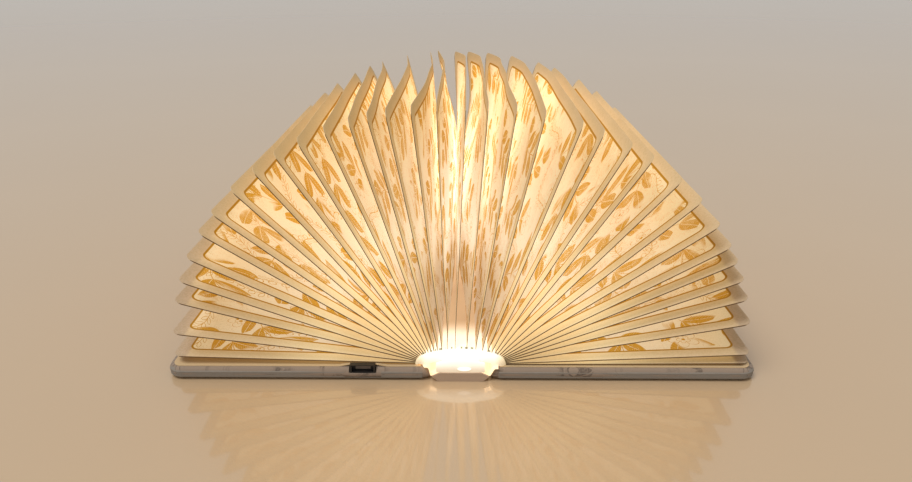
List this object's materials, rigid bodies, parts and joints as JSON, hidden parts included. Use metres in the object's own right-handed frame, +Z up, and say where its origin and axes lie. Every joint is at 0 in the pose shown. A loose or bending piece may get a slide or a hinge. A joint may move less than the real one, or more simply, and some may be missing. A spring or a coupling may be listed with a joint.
{
  "type": "folding book lamp",
  "caption": "Lamp in the form of a book: two padded cloth covers, a lit spine and a fan of stiff paper leaves that opens as the covers lie flat.",
  "frame": {"origin": "on the table, under the middle of the spine", "axes": "+X to the right across the open book, +Y from the front edge to the back edge, +Z up"},
  "size_m": [0.328, 0.215, 0.1525],
  "materials": {
    "leaf_paper": "matt ivory stiff paper",
    "endpaper": "matt ivory paper",
    "liner_film": "thin translucent film lit from below",
    "cover_cloth": "pale book cloth with a grey leaf pattern",
    "greyboard": "raw greyboard",
    "white_plastic": "moulded white",
    "diffuser_plastic": "opal, lit",
    "circuit_board": "white solder mask",
    "led_phosphor": "warm white LEDs",
    "reed_glass": "clear, with wire ends",
    "lead_strip": "flat flexible lead",
    "magnet_nickel": "nickel plated",
    "battery_foil": "silver foil pouch",
    "black_plastic": "moulded black"
  },
  "bodies": {
    "spine": {"spine_board": "greyboard", "spine_wrap": "cover_cloth", "light_tray": "white_plastic", "led_board": "circuit_board", "leds": "led_phosphor", "diffuser": "diffuser_plastic", "front_end_cap": "diffuser_plastic", "rear_end_cap": "diffuser_plastic", "reed_switch": "reed_glass", "liner_left": "liner_film", "liner_right": "liner_film", "led_lead": "lead_strip"},
    "left_cover": {"left_board": "greyboard", "left_wrap": "cover_cloth", "left_endpaper": "endpaper", "left_magnets": "magnet_nickel", "battery": "battery_foil", "charge_board": "circuit_board", "charge_socket": "black_plastic"},
    "right_cover": {"right_board": "greyboard", "right_wrap": "cover_cloth", "right_endpaper": "endpaper", "right_magnets": "magnet_nickel", "sensor_magnet": "magnet_nickel"},
    "leaf_01": {"leaf_01": "leaf_paper"},
    "leaf_02": {"leaf_02": "leaf_paper"},
    "leaf_03": {"leaf_03": "leaf_paper"},
    "leaf_04": {"leaf_04": "leaf_paper"},
    "leaf_05": {"leaf_05": "leaf_paper"},
    "leaf_06": {"leaf_06": "leaf_paper"},
    "leaf_07": {"leaf_07": "leaf_paper"},
    "leaf_08": {"leaf_08": "leaf_paper"},
    "leaf_09": {"leaf_09": "leaf_paper"},
    "leaf_10": {"leaf_10": "leaf_paper"},
    "leaf_11": {"leaf_11": "leaf_paper"},
    "leaf_12": {"leaf_12": "leaf_paper"},
    "leaf_13": {"leaf_13": "leaf_paper"},
    "leaf_14": {"leaf_14": "leaf_paper"},
    "leaf_15": {"leaf_15": "leaf_paper"},
    "leaf_16": {"leaf_16": "leaf_paper"},
    "leaf_17": {"leaf_17": "leaf_paper"},
    "leaf_18": {"leaf_18": "leaf_paper"},
    "leaf_19": {"leaf_19": "leaf_paper"},
    "leaf_20": {"leaf_20": "leaf_paper"},
    "leaf_21": {"leaf_21": "leaf_paper"},
    "leaf_22": {"leaf_22": "leaf_paper"},
    "leaf_23": {"leaf_23": "leaf_paper"},
    "leaf_24": {"leaf_24": "leaf_paper"},
    "leaf_25": {"leaf_25": "leaf_paper"},
    "leaf_26": {"leaf_26": "leaf_paper"},
    "leaf_27": {"leaf_27": "leaf_paper"},
    "leaf_28": {"leaf_28": "leaf_paper"},
    "leaf_29": {"leaf_29": "leaf_paper"},
    "leaf_30": {"leaf_30": "leaf_paper"},
    "leaf_31": {"leaf_31": "leaf_paper"},
    "leaf_32": {"leaf_32": "leaf_paper"},
    "leaf_33": {"leaf_33": "leaf_paper"},
    "leaf_34": {"leaf_34": "leaf_paper"},
    "leaf_35": {"leaf_35": "leaf_paper"}
  },
  "joints": [
    {"name": "left_cover_hinge", "type": "hinge", "parent": "spine", "child": "left_cover", "pos_m": [-0.016, 0, 0.003], "axis": [0, 1, 0], "range_deg": [0, 90], "deforming": ["liner_left", "led_lead"]},
    {"name": "right_cover_hinge", "type": "hinge", "parent": "spine", "child": "right_cover", "pos_m": [0.016, 0, 0.003], "axis": [0, -1, 0], "range_deg": [0, 90], "deforming": ["liner_right"]},
    {"name": "leaf_01_turn", "type": "hinge", "parent": "spine", "child": "leaf_01", "pos_m": [-0.01558, 0, 0.00264], "axis": [0, 1, 0], "range_deg": [0, 88.6]},
    {"name": "leaf_02_turn", "type": "hinge", "parent": "spine", "child": "leaf_02", "pos_m": [-0.01553, 0, 0.00207], "axis": [0, 1, 0], "range_deg": [0, 82.8]},
    {"name": "leaf_03_turn", "type": "hinge", "parent": "spine", "child": "leaf_03", "pos_m": [-0.01542, 0, 0.00103], "axis": [0, 1, 0], "range_deg": [0, 74.8]},
    {"name": "leaf_04_turn", "type": "hinge", "parent": "spine", "child": "leaf_04", "pos_m": [-0.01544, 0, 0.00036], "axis": [0, 1, 0], "range_deg": [0, 69.6]},
    {"name": "leaf_05_turn", "type": "hinge", "parent": "spine", "child": "leaf_05", "pos_m": [-0.01546, 0, -0.00061], "axis": [0, 1, 0], "range_deg": [0, 63.5]},
    {"name": "leaf_06_turn", "type": "hinge", "parent": "spine", "child": "leaf_06", "pos_m": [-0.01553, 0, -0.00197], "axis": [0, 1, 0], "range_deg": [0, 56.7]},
    {"name": "leaf_07_turn", "type": "hinge", "parent": "spine", "child": "leaf_07", "pos_m": [-0.01566, 0, -0.00309], "axis": [0, 1, 0], "range_deg": [0, 51.4]},
    {"name": "leaf_08_turn", "type": "hinge", "parent": "spine", "child": "leaf_08", "pos_m": [-0.01586, 0, -0.00496], "axis": [0, 1, 0], "range_deg": [0, 44.8]},
    {"name": "leaf_09_turn", "type": "hinge", "parent": "spine", "child": "leaf_09", "pos_m": [-0.01617, 0, -0.00729], "axis": [0, 1, 0], "range_deg": [0, 38.3]},
    {"name": "leaf_10_turn", "type": "hinge", "parent": "spine", "child": "leaf_10", "pos_m": [-0.01655, 0, -0.00967], "axis": [0, 1, 0], "range_deg": [0, 32.8]},
    {"name": "leaf_11_turn", "type": "hinge", "parent": "spine", "child": "leaf_11", "pos_m": [-0.01727, 0, -0.01285], "axis": [0, 1, 0], "range_deg": [0, 27.3]},
    {"name": "leaf_12_turn", "type": "hinge", "parent": "spine", "child": "leaf_12", "pos_m": [-0.01878, 0, -0.01744], "axis": [0, 1, 0], "range_deg": [0, 21.7]},
    {"name": "leaf_13_turn", "type": "hinge", "parent": "spine", "child": "leaf_13", "pos_m": [-0.02132, 0, -0.02254], "axis": [0, 1, 0], "range_deg": [0, 17]},
    {"name": "leaf_14_turn", "type": "hinge", "parent": "spine", "child": "leaf_14", "pos_m": [-0.02524, 0, -0.02712], "axis": [0, 1, 0], "range_deg": [0, 13.3]},
    {"name": "leaf_15_turn", "type": "hinge", "parent": "spine", "child": "leaf_15", "pos_m": [-0.03152, 0, -0.03068], "axis": [0, 1, 0], "range_deg": [0, 10.2]},
    {"name": "leaf_16_turn", "type": "hinge", "parent": "spine", "child": "leaf_16", "pos_m": [-0.05213, 0, -0.04468], "axis": [0, 1, 0], "range_deg": [0, 5.9]},
    {"name": "leaf_17_turn", "type": "hinge", "parent": "spine", "child": "leaf_17", "pos_m": [-0.16151, 0, -0.09405], "axis": [0, 1, 0], "range_deg": [0, 2]},
    {"name": "leaf_18_turn", "type": "hinge", "parent": "spine", "child": "leaf_18", "pos_m": [0.11792, 0, 0.01436], "axis": [0, -1, 0], "range_deg": [0, 2.7]},
    {"name": "leaf_19_turn", "type": "hinge", "parent": "spine", "child": "leaf_19", "pos_m": [0.07056, 0, -0.05982], "axis": [0, -1, 0], "range_deg": [0, 4.5]},
    {"name": "leaf_20_turn", "type": "hinge", "parent": "spine", "child": "leaf_20", "pos_m": [0.03756, 0, -0.05431], "axis": [0, -1, 0], "range_deg": [0, 8.2]},
    {"name": "leaf_21_turn", "type": "hinge", "parent": "spine", "child": "leaf_21", "pos_m": [0.02427, 0, -0.04191], "axis": [0, -1, 0], "range_deg": [0, 12.9]},
    {"name": "leaf_22_turn", "type": "hinge", "parent": "spine", "child": "leaf_22", "pos_m": [0.01773, 0, -0.0285], "axis": [0, -1, 0], "range_deg": [0, 19.6]},
    {"name": "leaf_23_turn", "type": "hinge", "parent": "spine", "child": "leaf_23", "pos_m": [0.01599, 0, -0.02476], "axis": [0, -1, 0], "range_deg": [0, 23.6]},
    {"name": "leaf_24_turn", "type": "hinge", "parent": "spine", "child": "leaf_24", "pos_m": [0.01483, 0, -0.01907], "axis": [0, -1, 0], "range_deg": [0, 29.3]},
    {"name": "leaf_25_turn", "type": "hinge", "parent": "spine", "child": "leaf_25", "pos_m": [0.0145, 0, -0.0154], "axis": [0, -1, 0], "range_deg": [0, 34.2]},
    {"name": "leaf_26_turn", "type": "hinge", "parent": "spine", "child": "leaf_26", "pos_m": [0.01423, 0, -0.01063], "axis": [0, -1, 0], "range_deg": [0, 41.7]},
    {"name": "leaf_27_turn", "type": "hinge", "parent": "spine", "child": "leaf_27", "pos_m": [0.01417, 0, -0.00755], "axis": [0, -1, 0], "range_deg": [0, 48.2]},
    {"name": "leaf_28_turn", "type": "hinge", "parent": "spine", "child": "leaf_28", "pos_m": [0.01421, 0, -0.00494], "axis": [0, -1, 0], "range_deg": [0, 55]},
    {"name": "leaf_29_turn", "type": "hinge", "parent": "spine", "child": "leaf_29", "pos_m": [0.01434, 0, -0.00313], "axis": [0, -1, 0], "range_deg": [0, 60.7]},
    {"name": "leaf_30_turn", "type": "hinge", "parent": "spine", "child": "leaf_30", "pos_m": [0.01447, 0, -0.00213], "axis": [0, -1, 0], "range_deg": [0, 64.3]},
    {"name": "leaf_31_turn", "type": "hinge", "parent": "spine", "child": "leaf_31", "pos_m": [0.01466, 0, -0.00095], "axis": [0, -1, 0], "range_deg": [0, 68.9]},
    {"name": "leaf_32_turn", "type": "hinge", "parent": "spine", "child": "leaf_32", "pos_m": [0.01488, 0, 0.00006], "axis": [0, -1, 0], "range_deg": [0, 73.3]},
    {"name": "leaf_33_turn", "type": "hinge", "parent": "spine", "child": "leaf_33", "pos_m": [0.01522, 0, 0.00136], "axis": [0, -1, 0], "range_deg": [0, 80]},
    {"name": "leaf_34_turn", "type": "hinge", "parent": "spine", "child": "leaf_34", "pos_m": [0.01562, 0, 0.00258], "axis": [0, -1, 0], "range_deg": [0, 87.6]},
    {"name": "leaf_35_turn", "type": "hinge", "parent": "spine", "child": "leaf_35", "pos_m": [0.01581, 0, 0.00293], "axis": [0, -1, 0], "range_deg": [0, 89.7]}
  ],
  "couplings": [
    {"joint": "leaf_01_turn", "follows": "left_cover_hinge", "ratio": 0.98222},
    {"joint": "leaf_02_turn", "follows": "left_cover_hinge", "ratio": 0.91778},
    {"joint": "leaf_03_turn", "follows": "left_cover_hinge", "ratio": 0.82889},
    {"joint": "leaf_04_turn", "follows": "left_cover_hinge", "ratio": 0.77111},
    {"joint": "leaf_05_turn", "follows": "left_cover_hinge", "ratio": 0.70333},
    {"joint": "leaf_06_turn", "follows": "left_cover_hinge", "ratio": 0.62778},
    {"joint": "leaf_07_turn", "follows": "left_cover_hinge", "ratio": 0.56889},
    {"joint": "leaf_08_turn", "follows": "left_cover_hinge", "ratio": 0.49556},
    {"joint": "leaf_09_turn", "follows": "left_cover_hinge", "ratio": 0.42333},
    {"joint": "leaf_10_turn", "follows": "left_cover_hinge", "ratio": 0.36222},
    {"joint": "leaf_11_turn", "follows": "left_cover_hinge", "ratio": 0.30111},
    {"joint": "leaf_12_turn", "follows": "left_cover_hinge", "ratio": 0.23889},
    {"joint": "leaf_13_turn", "follows": "left_cover_hinge", "ratio": 0.18667},
    {"joint": "leaf_14_turn", "follows": "left_cover_hinge", "ratio": 0.14556},
    {"joint": "leaf_15_turn", "follows": "left_cover_hinge", "ratio": 0.11111},
    {"joint": "leaf_16_turn", "follows": "left_cover_hinge", "ratio": 0.063333},
    {"joint": "leaf_17_turn", "follows": "left_cover_hinge", "ratio": 0.02},
    {"joint": "leaf_18_turn", "follows": "right_cover_hinge", "ratio": 0.027778},
    {"joint": "leaf_19_turn", "follows": "right_cover_hinge", "ratio": 0.047778},
    {"joint": "leaf_20_turn", "follows": "right_cover_hinge", "ratio": 0.088889},
    {"joint": "leaf_21_turn", "follows": "right_cover_hinge", "ratio": 0.14111},
    {"joint": "leaf_22_turn", "follows": "right_cover_hinge", "ratio": 0.21556},
    {"joint": "leaf_23_turn", "follows": "right_cover_hinge", "ratio": 0.26},
    {"joint": "leaf_24_turn", "follows": "right_cover_hinge", "ratio": 0.32333},
    {"joint": "leaf_25_turn", "follows": "right_cover_hinge", "ratio": 0.37778},
    {"joint": "leaf_26_turn", "follows": "right_cover_hinge", "ratio": 0.46111},
    {"joint": "leaf_27_turn", "follows": "right_cover_hinge", "ratio": 0.53333},
    {"joint": "leaf_28_turn", "follows": "right_cover_hinge", "ratio": 0.60889},
    {"joint": "leaf_29_turn", "follows": "right_cover_hinge", "ratio": 0.67222},
    {"joint": "leaf_30_turn", "follows": "right_cover_hinge", "ratio": 0.71222},
    {"joint": "leaf_31_turn", "follows": "right_cover_hinge", "ratio": 0.76333},
    {"joint": "leaf_32_turn", "follows": "right_cover_hinge", "ratio": 0.81222},
    {"joint": "leaf_33_turn", "follows": "right_cover_hinge", "ratio": 0.88667},
    {"joint": "leaf_34_turn", "follows": "right_cover_hinge", "ratio": 0.97111},
    {"joint": "leaf_35_turn", "follows": "right_cover_hinge", "ratio": 0.99444}
  ]
}
